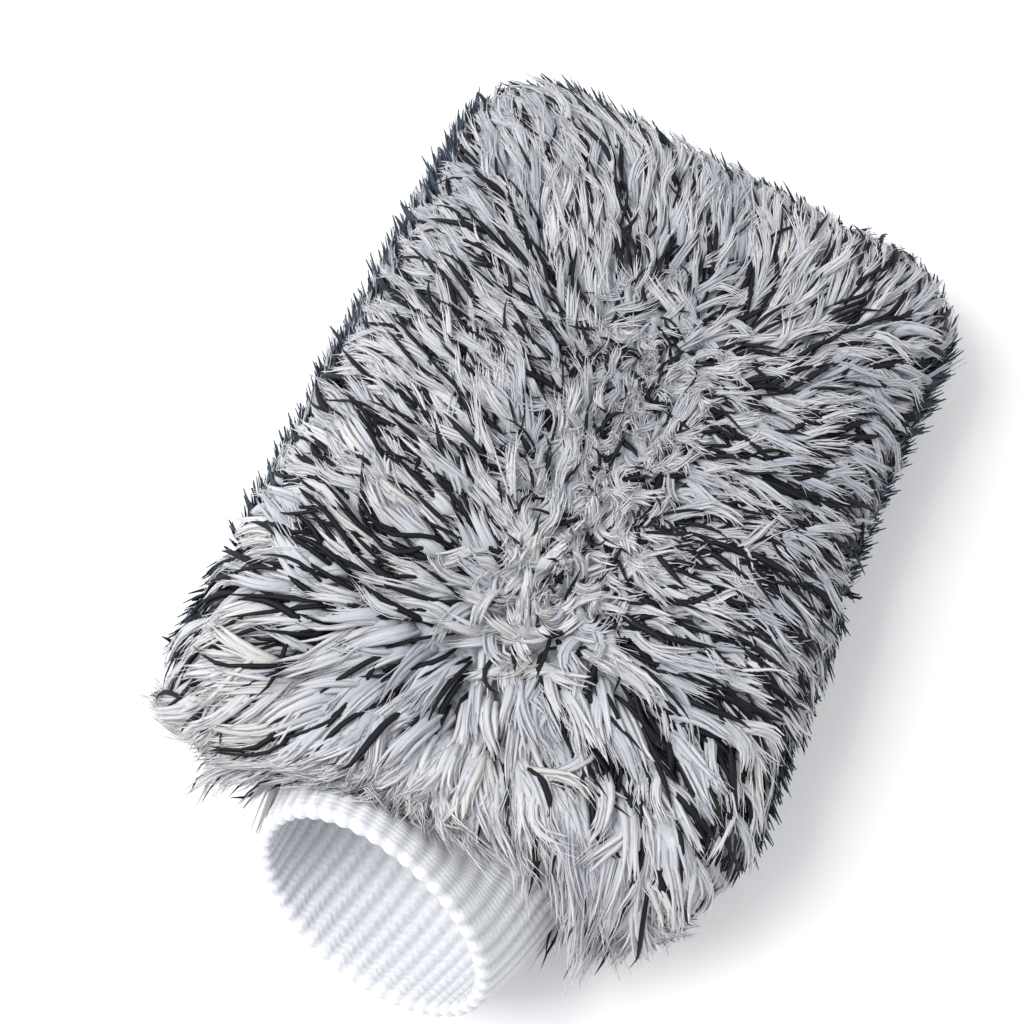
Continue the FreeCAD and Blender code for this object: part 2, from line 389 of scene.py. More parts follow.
def combed(p):
    """The way the pile is combed: outwards, swept by region, and over the edges towards the seam."""
    away, _ = from_parting(p)
    x = (p[..., 0] - BODY_MIDDLE[0])[..., None]
    y = (p[..., 1] - BODY_MIDDLE[1])[..., None]
    left = ease(0.5 - x / 60.0)
    flow = away + TIP_SWEEP * ease((y - 50.0) / 50.0)
    flow = flow + LEFT_SWEEP * left * ease((y + 90.0) / 80.0)
    flow = flow + RIGHT_SWEEP * (1 - left) * ease((20.0 - y) / 60.0)
    flow = flow + HANG * ease((-58.0 - y) / 45.0) * ease((x + 75.0) / 50.0)
    level = np.clip((p[..., 2] - BODY_MIDDLE[2]) / CLOTH_HALF[2], -1, 1)
    return np.concatenate([flow, -TO_SEAM * level[..., None]], axis=-1)


def wave(p):
    """A smooth random field, about -1 to 1, that turns neighbouring strands the same way."""
    xy = p[..., :2]
    return sum(np.sin(xy @ k + phase) for k, phase in WAVES) / 3.0


# How near the ground cloth a tried point has to be, and how deep the end wall is that has the cuff's mouth
NEAR_CLOTH = 1.0
END_WALL = 4.0


def scatter(spacing):
    """Roots spread over the ground cloth, one to each cell of the spacing, clear of the cuff's mouth."""
    reach = CLOTH_HALF + 2.0
    tries_per_cell = 8
    tries = int(tries_per_cell * (2 * reach).prod() / spacing**3)
    p = rng.uniform(-reach, reach, size=(tries, 3))
    p = p[np.abs(cloth_distance(p)) < NEAR_CLOTH]
    p = p - normal_of(cloth_distance, p) * cloth_distance(p)[:, None]
    _, first = np.unique(np.floor(p / spacing).astype(int), axis=0, return_index=True)
    p = p[np.sort(first)]
    mouth = np.hypot(p[:, 0] / (CUFF_BASE_HALF[0] + 1), p[:, 2] / (CUFF_BASE_HALF[1] + 1))
    in_mouth = (p[:, 1] < -CLOTH_HALF[1] + END_WALL) & (mouth < 1)
    p = p[~in_mouth] + BODY_MIDDLE
    return p[np.argsort(p[:, 1])]


def over_cuff(p):
    """Lifts points that would pass through the cuff out to its outside."""
    away = cuff_distance(p)
    inside = (away < 0) & (p[:, 1] < CUFF_BASE[1] + 1.0)
    p[inside] -= normal_of(cuff_distance, p[inside]) * away[inside][:, None]
    return p


# How far through its sway a curling strand gets from root to tip, in radians
CURL_TURN = 5.0


def grow(roots, length, start, end, rise, wander, curl, stations):
    """Grows strands from their roots, from start to end degrees off the pile's upright.

    rise is the share of its length by which a strand has laid over. wander turns its whole heading, and curl
    sways it one way and then the other. Gives paths and, at each station, the direction across the strand.
    """
    phase = rng.uniform(0, 2 * math.pi, len(roots))
    p = roots.copy()
    paths = [p]
    acrosses = []
    step = (length / (stations - 1))[:, None]
    for k in range(stations):
        normal = normal_of(skin_distance, p)
        flow = combed(p)
        ahead = unit(flow - (flow * normal).sum(-1, keepdims=True) * normal)
        aside = np.cross(normal, ahead)
        turn = (wander + curl * np.sin(phase + CURL_TURN * k / (stations - 1)))[:, None]
        heading = ahead * np.cos(turn) + aside * np.sin(turn)
        acrosses.append(np.cross(normal, heading))
        if k < stations - 1:
            laid = ease((k + 0.5) / (stations - 1) / rise)
            angle = np.radians(start + (end - start) * laid)[:, None]
            p = over_cuff(p + step * (normal * np.cos(angle) + heading * np.sin(angle)))
            paths.append(p)
    return np.stack(paths, axis=1), np.stack(acrosses, axis=1)


# Points along each strand that its bends are drawn with
LOCK_STATIONS = 9
DARK_STATIONS = 10
EDGING_STATIONS = 7
SPLIT_STATIONS = 7
FIBRE_STATIONS = 6


def lie_of(roots):
    """How settled the pile is: 0 on the parting, where it stands and tangles, 1 well away from it."""
    return ease(from_parting(roots)[1] / 30.0)


def wrist_share(roots):
    """0 in the fingertip half, 1 at the wrist end, where the locks are broader and longer."""
    return ease((30.0 - (roots[:, 1] - BODY_MIDDLE[1])) / 100.0)


def hem_share(roots):
    """1 along the wrist end's edge, where the pile hangs over the cuff, and 0 a little way in."""
    from_edge = roots[:, 1] - CLOTH_LOW[1]
    return ease((26.0 - from_edge) / 22.0) * ease((78.0 - np.abs(roots[:, 0])) / 20.0)


def wall_share(roots):
    """1 on the end wall beside the cuff, where short pile stands out along the cuff, and 0 elsewhere."""
    normal = normal_of(cloth_distance, roots - BODY_MIDDLE)
    upright = ease((-normal[:, 1] - 0.35) / 0.5) * ease((0.8 - np.abs(normal[:, 2])) / 0.4)
    return hem_share(roots) * upright


def side_share(roots):
    """0 on the flat of the back or palm, 1 on the edges round the hand."""
    return 1.0 - np.abs(normal_of(skin_distance, roots)[:, 2])


def headings(roots, spread, twist):
    """How far strands wander from the combing, and how much they curl: wildest on the parting."""
    n = len(roots)
    loose = 1 - lie_of(roots)
    wander = rng.uniform(-math.pi, math.pi, n) * loose**1.5
    wander += 0.3 * wave(roots) + rng.normal(0, spread, n)
    return wander, rng.normal(0, twist, n) * (1 + 1.6 * loose)


def grown_length(roots, shortest, longest, on_parting, settling):
    """Lengths of strands: shorter on the parting and the end wall, longer over the wrist and its hem."""
    length = rng.uniform(shortest, longest, len(roots)) * (on_parting + settling * lie_of(roots))
    length = length * (1 + 0.2 * wrist_share(roots) + 0.42 * hem_share(roots))
    return length * (1 - 0.42 * wall_share(roots))


def laid_over(roots, on_parting, settling, lift, spread):
    """Degrees off the upright that strands end at: flattest when settled, less on the edges and end wall."""
    side, hem = side_share(roots), hem_share(roots)
    end = on_parting + settling * lie_of(roots) - lift * side * (1 - 0.7 * wrist_share(roots))
    return end + 12 * side * hem - 45 * wall_share(roots) + rng.normal(0, spread, len(roots))


def white_locks(roots):
    """Paths of the broad white locks, and how wide each one is."""
    n = len(roots)
    length = grown_length(roots, 22.0, 28.0, 0.68, 0.32)
    wander, curl = headings(roots, 0.2, 0.3)
    end = laid_over(roots, 62, 25, 18, 5)
    start = 10.0 + rng.normal(0, 5, n)
    paths, across = grow(roots, length, start, end, 0.68, wander, curl, LOCK_STATIONS)
    slimmer_side = 1 - 0.42 * side_share(roots) * (1 - hem_share(roots))
    return paths, across, rng.uniform(1.05, 1.9, n) * (1 + 0.85 * wrist_share(roots)) * slimmer_side


def dark_strands(roots):
    """Paths of the thinner charcoal strands, which rise between the locks and lie over them."""
    n = len(roots)
    length = grown_length(roots, 22.0, 30.0, 0.72, 0.28)
    wander, curl = headings(roots, 0.2, 0.34)
    end = laid_over(roots, 74, 17, 20, 6)
    length = length * (1 - 0.12 * side_share(roots))
    start = 5.0 + rng.normal(0, 5, n)
    paths, across = grow(roots, length, start, end, 0.66, wander, curl, DARK_STATIONS)
    width = np.minimum(0.42 + 0.17 * rng.gamma(1.6, 1.0, n), 1.15)
    return paths, across, width * (1 + 0.2 * wrist_share(roots) + 0.22 * ease(roots[:, 0] / 70.0))


def edging_locks(roots):
    """Paths of the short navy locks that stand out all round the edge, under the white ones."""
    n = len(roots)
    wander, curl = headings(roots, 0.2, 0.3)
    end = 56 + rng.normal(0, 6, n)
    length = rng.uniform(21.0, 25.0, n)
    start = 6.0 + rng.normal(0, 5, n)
    paths, across = grow(roots, length, start, end, 0.7, wander, curl, EDGING_STATIONS)
    return paths, across, rng.uniform(0.9, 1.6, n)


def resample(paths, shares):
    """Points along each path at shares of its length; a share past 1 carries on the way the path ends."""
    last = paths.shape[1] - 1
    place = shares * last
    low = np.clip(np.floor(place).astype(int), 0, last - 1)
    part = (place - low)[..., None]
    index = np.arange(len(paths))[:, None]
    return paths[index, low] * (1 - part) + paths[index, low + 1] * part


def split_off(paths, across, width, per_lock, stations, start, reach, fray, sway):
    """Thinner strands that run with each lock, and leave it and end within the start and reach shares.

    fray and sway are how far, in millimetres, they spread at their tips and wave on the way.
    """
    n = len(paths) * per_lock
    pick = np.repeat(np.arange(len(paths)), per_lock)
    first = rng.uniform(*start, n)[:, None]
    last = rng.uniform(*reach, n)[:, None]
    t = np.linspace(0, 1, stations)[None, :]
    shares = first + (last - first) * t
    line = resample(paths[pick], shares)
    side = unit(resample(across[pick], np.clip(shares, 0, 1)))
    tangent = unit(np.gradient(line, axis=1))
    top = unit(np.cross(tangent, side))
    angle = rng.uniform(0, 2 * math.pi, n)[:, None]
    place = width[pick][:, None] * np.sqrt(rng.uniform(0.1, 0.9, n))[:, None]
    spread = fray * rng.gamma(1.5, 0.9, n)[:, None] * t**2.2
    wave_along = sway * np.sin(t * rng.uniform(3, 8, n)[:, None] + rng.uniform(0, 6.3, n)[:, None]) * t
    out = place * (1 - 0.4 * t) + spread
    aside = out * np.cos(angle) + wave_along
    over = out * np.sin(angle) * 0.6 + 0.5 * wave_along
    over = np.where(np.sin(angle) < 0, over * 0.4, over)
    return line + side * aside[..., None] + top * over[..., None], side, pick


def spindle(stations, root, tip):
    """A width profile that is widest two thirds of the way along, and pointed at both ends."""
    t = np.linspace(0, 1, stations)
    return root * (1 - t) + tip * t + (1 - root) * np.sin(math.pi * t**1.7) ** 0.8


def taper(stations, root, tip, hold):
    """A width profile: root at the root, full over the middle, tip at the tip; hold keeps it full longer."""
    t = np.linspace(0, 1, stations)
    return (root + (1 - root) * ease(t / 0.35)) * (1 - (1 - tip) * t**hold)


# ---------------------------------------------------------------- materials


def linear(colour):
    """Linear red, green, blue and alpha of an sRGB hex colour."""
    channels = [int(colour[i:i + 2], 16) / 255 for i in (1, 3, 5)]
    return [c / 12.92 if c <= 0.04045 else ((c + 0.055) / 1.055) ** 2.4 for c in channels] + [1.0]


def add(tree, kind, settings=None, links=None):
    """Adds a node, with its settings and with the sockets that feed its inputs."""
    node = tree.nodes.new(kind)
    for name, value in (settings or {}).items():
        if name == "stops":
            while len(node.color_ramp.elements) < len(value):
                node.color_ramp.elements.new(1.0)
            for element, (place, colour) in zip(node.color_ramp.elements, value):
                element.position = place
                element.color = linear(colour)
        elif isinstance(name, int) or name in node.inputs:
            node.inputs[name].default_value = value
        else:
            setattr(node, name, value)
    for name, socket in (links or {}).items():
        tree.links.new(socket, node.inputs[name])
    return node


def new_material(name):
    material = bpy.data.materials.new(name)
    material.use_nodes = True
    material.node_tree.nodes.clear()
    return material, material.node_tree


def finish_surface(tree, settings, colour, height=None, strength=0.0, depth=0.0):
    """Ends a material in its shader, with a colour and, where it has a height, a relief of that depth."""
    links = {"Base Color": colour}
    if height is not None:
        relief = add(tree, "ShaderNodeBump", {"Strength": strength, "Distance": depth}, {"Height": height})
        links["Normal"] = relief.outputs["Normal"]
    shader = add(tree, "ShaderNodeBsdfPrincipled", settings, links)
    add(tree, "ShaderNodeOutputMaterial", links={"Surface": shader.outputs["BSDF"]})


# Painted shade from root to tip of the locks, of their finer splits and of the frayed fibres, greyer at the
# roots for the shade deep in the pile, and tones from lock to lock
PILE_DEPTH_PAINTED_SHADE = [(0.0, "#6C7078"), (0.2, "#9DA0A7"), (0.4, "#C6C8CC"), (0.65, "#D7D8DA"), (1.0, "#DFDFE0")]
SPLIT_DEPTH_PAINTED_SHADE = [(0.0, "#B4B6BB"), (0.3, "#CFD0D3"), (0.7, "#DEDEE0"), (1.0, "#E9E9EA")]
FRAY_DEPTH_PAINTED_SHADE = [(0.0, "#D8D9DB"), (0.3, "#E9E9EA"), (1.0, "#F5F5F5")]
LOCK_TONES = [(0.0, "#C9CBD4"), (0.35, "#E3E4E8"), (0.7, "#F5F5F6"), (0.92, "#FFFFFF"), (1.0, "#F8F6EE")]


# Brushed fibre scatters light at its edges: no gloss, and a faint sheen, softer where it is matted
BRUSHED_FIBRE = {"Roughness": 0.85, "IOR": 1.5, "Specular IOR Level": 0.25}
BRUSHED_SHEEN = {"Sheen Weight": 0.25, "Sheen Roughness": 0.5}
MATTED_FIBRE = {"Roughness": 0.95, "IOR": 1.5, "Specular IOR Level": 0.15}
MATTED_SHEEN = {"Sheen Weight": 0.2, "Sheen Roughness": 0.6}
KNIT_YARN = {"Roughness": 0.9, "IOR": 1.5, "Specular IOR Level": 0.2}
KNIT_SHEEN = {"Sheen Weight": 0.3, "Sheen Roughness": 0.5}


def split_fibre_pile(name, depth_painted_shade):
    """Split polyester-polyamide microfibre yarn, cut and brushed: matt soft white, with a faint fuzzy sheen.

    Its roots are painted grey for the shade in the depth of the pile, and each lock differs a little. Fine
    streaks run along a lock, drawn coarser than single fibres, to show.
    """
    material, tree = new_material(name)
    along, tone, around = [
        add(tree, "ShaderNodeAttribute", {"attribute_name": kept}).outputs["Fac"]
        for kept in ("along", "tone", "around")
    ]
    # Painted shade: the colour darkens from tip to root, for the shade deep in the pile
    depth = add(tree, "ShaderNodeValToRGB", {"stops": depth_painted_shade}, {"Fac": along})
    lock = add(tree, "ShaderNodeValToRGB", {"stops": LOCK_TONES}, {"Fac": tone})
    both = add(
        tree,
        "ShaderNodeMix",
        {"data_type": "RGBA", "blend_type": "MULTIPLY", "Factor": 1.0},
        {6: depth.outputs["Color"], 7: lock.outputs["Color"]},
    )
    place = add(tree, "ShaderNodeCombineXYZ", links={"X": around, "Y": along, "Z": tone})
    streak_scale = add(
        tree,
        "ShaderNodeVectorMath",
        {"operation": "MULTIPLY", 1: (9.0, 1.6, 40.0)},
        {0: place.outputs["Vector"]},
    )
    streaks = add(
        tree,
        "ShaderNodeTexNoise",
        {"Scale": 2.2, "Detail": 3.0, "Roughness": 0.6},
        {"Vector": streak_scale.outputs["Vector"]},
    )
    # Painted shade: the darker streaks, which the bump also sets lower, stand for shade between the fibres
    streak_colour = add(
        tree,
        "ShaderNodeValToRGB",
        {"stops": [(0.3, "#CDD0D8"), (0.5, "#F4F4F6"), (0.7, "#FFFFFF")]},
        {"Fac": streaks.outputs["Fac"]},
    )
    coloured = add(
        tree,
        "ShaderNodeMix",
        {"data_type": "RGBA", "blend_type": "MULTIPLY", "Factor": 0.8},
        {6: both.outputs[2], 7: streak_colour.outputs["Color"]},
    )
    fibre = {**BRUSHED_FIBRE, **BRUSHED_SHEEN}
    finish_surface(tree, fibre, coloured.outputs[2], streaks.outputs["Fac"], 0.35, 0.4 * MM)
    return material


def matted_fleece():
    """Split fibre matted at the foot of the pile, woolly with soft pits 2-3 mm apart: painted light grey for
    the shade at the foot of the pile, with painted darker shade in the pits.
    """
    material, tree = new_material("matted_split_fibre")
    place = add(tree, "ShaderNodeTexCoord")
    wool = add(
        tree,
        "ShaderNodeTexNoise",
        {"Scale": 420.0, "Detail": 5.0, "Roughness": 0.7},
        {"Vector": place.outputs["Object"]},
    )
    # Painted shade: grey for the depth of the pile, darkest where the bump sets the fleece low, in its pits
    colour = add(
        tree,
        "ShaderNodeValToRGB",
        {"stops": [(0.3, "#6B717B"), (0.48, "#A4A8B0"), (0.7, "#CBCDD1")]},
        {"Fac": wool.outputs["Fac"]},
    )
    fleece = {**MATTED_FIBRE, **MATTED_SHEEN}
    finish_surface(tree, fleece, colour.outputs["Color"], wool.outputs["Fac"], 0.8, 1.2 * MM)
    return material


def dyed_filament(name, root, body, tip):
    """Dope-dyed polyester filament, thicker and smoother than the split fibre: dark, with a low gloss."""
    material, tree = new_material(name)
    along = add(tree, "ShaderNodeAttribute", {"attribute_name": "along"})
    tone = add(tree, "ShaderNodeAttribute", {"attribute_name": "tone"})
    # Painted shade: each filament is darkest at its root, deep in the pile, and lighter at its tip
    depth = add(
        tree,
        "ShaderNodeValToRGB",
        {"stops": [(0.0, root), (0.5, body), (0.9, body), (1.0, tip)]},
        {"Fac": along.outputs["Fac"]},
    )
    strand = add(
        tree,
        "ShaderNodeValToRGB",
        {"stops": [(0.0, "#6F727A"), (0.5, "#A9ABB1"), (1.0, "#FFFFFF")]},
        {"Fac": tone.outputs["Fac"]},
    )
    coloured = add(
        tree,
        "ShaderNodeMix",
        {"data_type": "RGBA", "blend_type": "MULTIPLY", "Factor": 0.7},
        {6: depth.outputs["Color"], 7: strand.outputs["Color"]},
    )
    filament = {"Roughness": 0.62, "IOR": 1.58, "Specular IOR Level": 0.2}
    finish_surface(tree, filament, coloured.outputs[2])
    return material


def woven_cloth(name, light, dark, pitch_mm, roughness, sheen):
    """A woven or knitted cloth: its threads cross at pitch_mm, coarser than real to show, with pale crowns and
    painted shade down between them.
    """
    material, tree = new_material(name)
    place = add(tree, "ShaderNodeTexCoord")
    scale = 1.0 / (pitch_mm * MM) / 20.0 * math.pi
    pattern = {"wave_type": "BANDS", "Scale": scale, "Distortion": 0.6, "Detail": 1.0}
    bands = [
        add(
            tree,
            "ShaderNodeTexWave",
            {**pattern, "bands_direction": direction},
            {"Vector": place.outputs["Object"]},
        )
        for direction in ("X", "Y")
    ]
    weave = add(
        tree,
        "ShaderNodeMath",
        {"operation": "MULTIPLY"},
        {0: bands[0].outputs["Fac"], 1: bands[1].outputs["Fac"]},
    )
    # Painted shade: the colour is darker where the weave is low, between the crowns
    colour = add(
        tree, "ShaderNodeValToRGB", {"stops": [(0.0, dark), (0.6, light)]}, {"Fac": weave.outputs["Value"]}
    )
    cloth = {"Roughness": roughness, "IOR": 1.5, "Sheen Weight": sheen, "Sheen Roughness": 0.5}
    depth = pitch_mm * MM * 0.3
    finish_surface(tree, cloth, colour.outputs["Color"], weave.outputs["Value"], 0.5, depth)
    return material


def rib_knit():
    """Spun polyester knitted in a one-by-one rib: matt bright white, with painted shade greying it down in the
    furrows.

    The slanted legs of its stitches cross each rib, drawn 1.9 mm apart, about twice the real pitch, to show.
    Its yarn's fuzz is drawn about 1 mm across, coarser than real, to show.
    """
    material, tree = new_material("rib_knit_white")
    height = add(tree, "ShaderNodeAttribute", {"attribute_name": "rib_height"})
    stitch = add(tree, "ShaderNodeAttribute", {"attribute_name": "stitch"})
    turns = add(
        tree, "ShaderNodeMath", {"operation": "MULTIPLY", 1: 2 * math.pi}, {0: stitch.outputs["Fac"]}
    )
    legs = add(tree, "ShaderNodeMath", {"operation": "SINE"}, {0: turns.outputs["Value"]})
    place = add(tree, "ShaderNodeTexCoord")
    fuzz = add(
        tree,
        "ShaderNodeTexNoise",
        {"Scale": 900.0, "Detail": 3.0, "Roughness": 0.65},
        {"Vector": place.outputs["Object"]},
    )
    # Painted shade: the colour greys from the rib crowns down into the furrows
    colour = add(
        tree,
        "ShaderNodeValToRGB",
        {"stops": [(0.0, "#D2D4D9"), (0.5, "#E4E5E8"), (1.0, "#EFEFF1")]},
        {"Fac": height.outputs["Fac"]},
    )
    # Painted shade: the flecks are greyer where the fuzz's relief is low
    fleck = add(
        tree,
        "ShaderNodeValToRGB",
        {"stops": [(0.3, "#DADBE0"), (0.65, "#FFFFFF")]},
        {"Fac": fuzz.outputs["Fac"]},
    )
    coloured = add(
        tree,
        "ShaderNodeMix",
        {"data_type": "RGBA", "blend_type": "MULTIPLY", "Factor": 0.6},
        {6: colour.outputs["Color"], 7: fleck.outputs["Color"]},
    )
    surface = add(
        tree,
        "ShaderNodeMath",
        {"operation": "MULTIPLY_ADD", 1: 0.35},
        {0: legs.outputs["Value"], 2: fuzz.outputs["Fac"]},
    )
    knit = {**KNIT_YARN, **KNIT_SHEEN}
    finish_surface(tree, knit, coloured.outputs[2], surface.outputs["Value"], 0.35, 0.3 * MM)
    return material


def twisted_yarn(name, light, dark, roughness):
    """Plied yarn or sewing thread: slanted bands of light and shade, drawn 2 mm apart to show."""
    material, tree = new_material(name)
    place = add(tree, "ShaderNodeTexCoord")
    plies = add(
        tree,
        "ShaderNodeTexWave",
        {"wave_type": "BANDS", "bands_direction": "DIAGONAL", "Scale": 160.0, "Distortion": 1.0},
        {"Vector": place.outputs["Object"]},
    )
    colour = add(
        tree, "ShaderNodeValToRGB", {"stops": [(0.0, dark), (0.7, light)]}, {"Fac": plies.outputs["Fac"]}
    )
    yarn = {"Roughness": roughness, "IOR": 1.5}
    finish_surface(tree, yarn, colour.outputs["Color"], plies.outputs["Fac"], 0.5, 0.2 * MM)
    return material


# ---------------------------------------------------------------- the pile

pile_white = split_fibre_pile("split_fibre_pile_white", PILE_DEPTH_PAINTED_SHADE)
pile_split = split_fibre_pile("split_fibre_pile_split", SPLIT_DEPTH_PAINTED_SHADE)
pile_fray = split_fibre_pile("split_fibre_pile_frayed", FRAY_DEPTH_PAINTED_SHADE)
# Each filament's colours run root, body, tip; the darker root is painted shade deep in the pile
pile_charcoal = dyed_filament("polyester_filament_charcoal", "#101216", "#1B1E23", "#2A2C31")
pile_navy = dyed_filament("polyester_filament_navy", "#1E2834", "#3A4858", "#4C5C6E")
matted_white = matted_fleece()

# Spacing of the roots on the ground cloth: locks, the dark strands among them, the navy edging round the
# hand, and the extra locks along the wrist edge, on the parting and on the end wall
LOCK_SPACING = 3.8
DARK_SPACING = 2.75
EDGING_SPACING = 2.5
HEM_SPACING = 3.0
TUFT_SPACING = 3.9
WALL_SPACING = 2.6

# The matted lower pile: its depth over the ground cloth, the height of its lumps, how far it is pressed down
# beside the cuff and its cut edge tucked into the cuff, and the thickness of its shell
MATTED_DEPTH = 8.0
MATTED_LUMP = 1.1
MATTED_PRESS = 2.5
MATTED_TUCK = 0.7
MATTED_THICKNESS = 2.0
LUMPS = [
    (unit(rng.normal(size=3)) * 2 * math.pi / rng.uniform(5, 11), rng.uniform(0, 6.3))
    for _ in range(14)
]


def make_locks(side, roots):
    """The white locks of one panel: each a soft core that splits into finer locks, frayed into fibres."""
    paths, across, width = white_locks(roots)
    # Painted light: the locks are made lighter towards the wrist end and along its hem
    tone = 0.47 + 0.2 * wave(roots * 1.7) + 0.2 * hem_share(roots) + 0.12 * wrist_share(roots)
    tone = np.clip(tone + rng.normal(0, 0.17, len(roots)), 0, 1)
    core = 0.9 * width[:, None] * taper(LOCK_STATIONS, 0.5, 0.06, 1.9)[None]
    pieces = tubes(f"{side}_pile_locks", paths, across, core, 0.45, 6, {"tone": tone}, pile_white)

    splits = 4 if side == "back" else 2
    lines, line_across, pick = split_off(
        paths, across, width, splits, SPLIT_STATIONS, (0.15, 0.42), (0.84, 1.05), 0.9, 0.35
    )
    profile = taper(SPLIT_STATIONS, 0.7, 0.14, 2.4)[None]
    finer = (width[pick] * rng.uniform(0.22, 0.42, len(pick)))[:, None] * profile
    shade = {"tone": np.clip(tone[pick] + rng.normal(0.05, 0.14, len(pick)), 0, 1)}
    pieces += tubes(f"{side}_pile_split_locks", lines, line_across, finer, 0.5, 4, shade, pile_split)

    frays = 5 if side == "back" else 2
    lines, line_across, pick = split_off(
        paths, across, width, frays, FIBRE_STATIONS, (0.45, 0.74), (0.94, 1.15), 0.9, 0.6
    )
    fine = rng.uniform(0.14, 0.25, len(pick))[:, None] * taper(FIBRE_STATIONS, 0.8, 0.3, 2.0)[None]
    shade = {"tone": np.clip(tone[pick] + rng.normal(0.15, 0.15, len(pick)), 0, 0.92)}
    return pieces + tubes(f"{side}_pile_fibres", lines, line_across, fine, 1.0, 3, shade, pile_fray)


def make_dark(side, roots):
    """The charcoal strands of one panel."""
    paths, across, width = dark_strands(roots)
    strand = width[:, None] * spindle(DARK_STATIONS, 0.3, 0.12)[None]
    tone = rng.uniform(0, 1, len(roots))
    return tubes(f"{side}_pile_dark_strands", paths, across, strand, 0.6, 4, {"tone": tone}, pile_charcoal)


def make_edging(side, roots):
    """The navy locks of one panel's edge."""
    paths, across, width = edging_locks(roots)
    lock = width[:, None] * taper(EDGING_STATIONS, 0.6, 0.2, 3.0)[None]
    tone = rng.uniform(0, 1, len(roots))
    return tubes(f"{side}_pile_edging", paths, across, lock, 0.5, 5, {"tone": tone}, pile_navy)


def make_matted_pile(side, top):
    """The dense lower part of one panel's pile, matted together: a lumpy fleece under the loose locks."""
    corner, edge = CLOTH_CORNER + MATTED_DEPTH, CLOTH_EDGE + MATTED_DEPTH
    points, quads, cap = bag_mesh(CLOTH_HALF + MATTED_DEPTH, corner, edge, top, 16, 60, 46)
    placed = points + BODY_MIDDLE
    lumps = sum(np.sin(placed @ k + phase) for k, phase in LUMPS) / math.sqrt(len(LUMPS))
    beside_cuff = ease((16.0 - cuff_distance(placed)) / 14.0)
    raised = MATTED_LUMP * lumps - MATTED_PRESS * beside_cuff
    placed = worn_shape(placed + normal_of(skin_distance, placed) * raised[:, None])
    kept = cuff_distance(placed[quads].mean(axis=1)) > 0.5
    cut = edge_points(quads, kept)
    tucked_in = cuff_distance(placed[cut]) + MATTED_TUCK
    placed[cut] -= normal_of(cuff_distance, placed[cut]) * tucked_in[:, None]
    return [cut_cloth(f"{side}_matted_pile", placed, quads[kept], cap, MATTED_THICKNESS, matted_white)]


def dark_share(roots):
    """How much dark yarn shows: most down the right, least at the fingers and over the wrist."""
    across = (roots[:, 0] - BODY_MIDDLE[0]) / CLOTH_HALF[0]
    lengthwise = (roots[:, 1] - BODY_MIDDLE[1]) / CLOTH_HALF[1]
    over_wrist = np.exp(-(across**2) / 0.3) * ease((-0.3 - lengthwise) / 0.3)
    # More dark yarn down the right is partly the yarn's own spread and partly painted shade, for the side away
    # from the window light
    down_right = ease(across * 1.3) * (0.55 + 0.45 * np.exp(-(((lengthwise + 0.1) / 0.35) ** 2)))
    down_left = ease(-across * 1.1)
    at_fingers = ease((lengthwise - 0.3) / 0.5)
    standing = 1 - lie_of(roots)
    share = 0.58 + 0.48 * down_right + 0.1 * down_left + 0.2 * standing * (1 - over_wrist)
    return share - 0.27 * at_fingers - 0.35 * over_wrist


def make_pile():
    """Both panels' pile. Locks are thinned towards the wrist, where they are broader, but not at its hem."""
    locks = scatter(LOCK_SPACING)
    locks = locks[rng.uniform(0, 1, len(locks)) > 0.38 * wrist_share(locks) * (1 - hem_share(locks))]
    hem = scatter(HEM_SPACING)
    tufts = scatter(TUFT_SPACING)
    tufts = tufts[(lie_of(tufts) < 0.5) & (side_share(tufts) < 0.3)]
    wall = scatter(WALL_SPACING)
    locks = np.concatenate([locks, hem[hem_share(hem) > 0.3], tufts, wall[wall_share(wall) > 0.25]])
    darks = scatter(DARK_SPACING)
    darks = darks[rng.uniform(0, 1, len(darks)) < dark_share(darks)]
    edging = scatter(EDGING_SPACING)
    clear_of_wrist = edging[:, 1] > CLOTH_LOW[1] + 20
    near_seam = edging[:, 2] < BODY_MIDDLE[2] + 8
    edging = edging[(side_share(edging) > 0.5) & clear_of_wrist & near_seam]
    for side, node in (("back", "back_pile"), ("palm", "palm_pile")):
        picked = [r[(r[:, 2] >= BODY_MIDDLE[2]) == (side == "back")] for r in (locks, darks, edging)]
        pieces = make_matted_pile(side, side == "back") + make_locks(side, picked[0])
        pieces += make_dark(side, picked[1]) + make_edging(side, picked[2])
        for piece in pieces:
            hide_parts(node)


# ---------------------------------------------------------------- ground cloth and lining


# How far inside the body the bags' lips meet the cuff's base
LIP_OVERLAP = 0.3


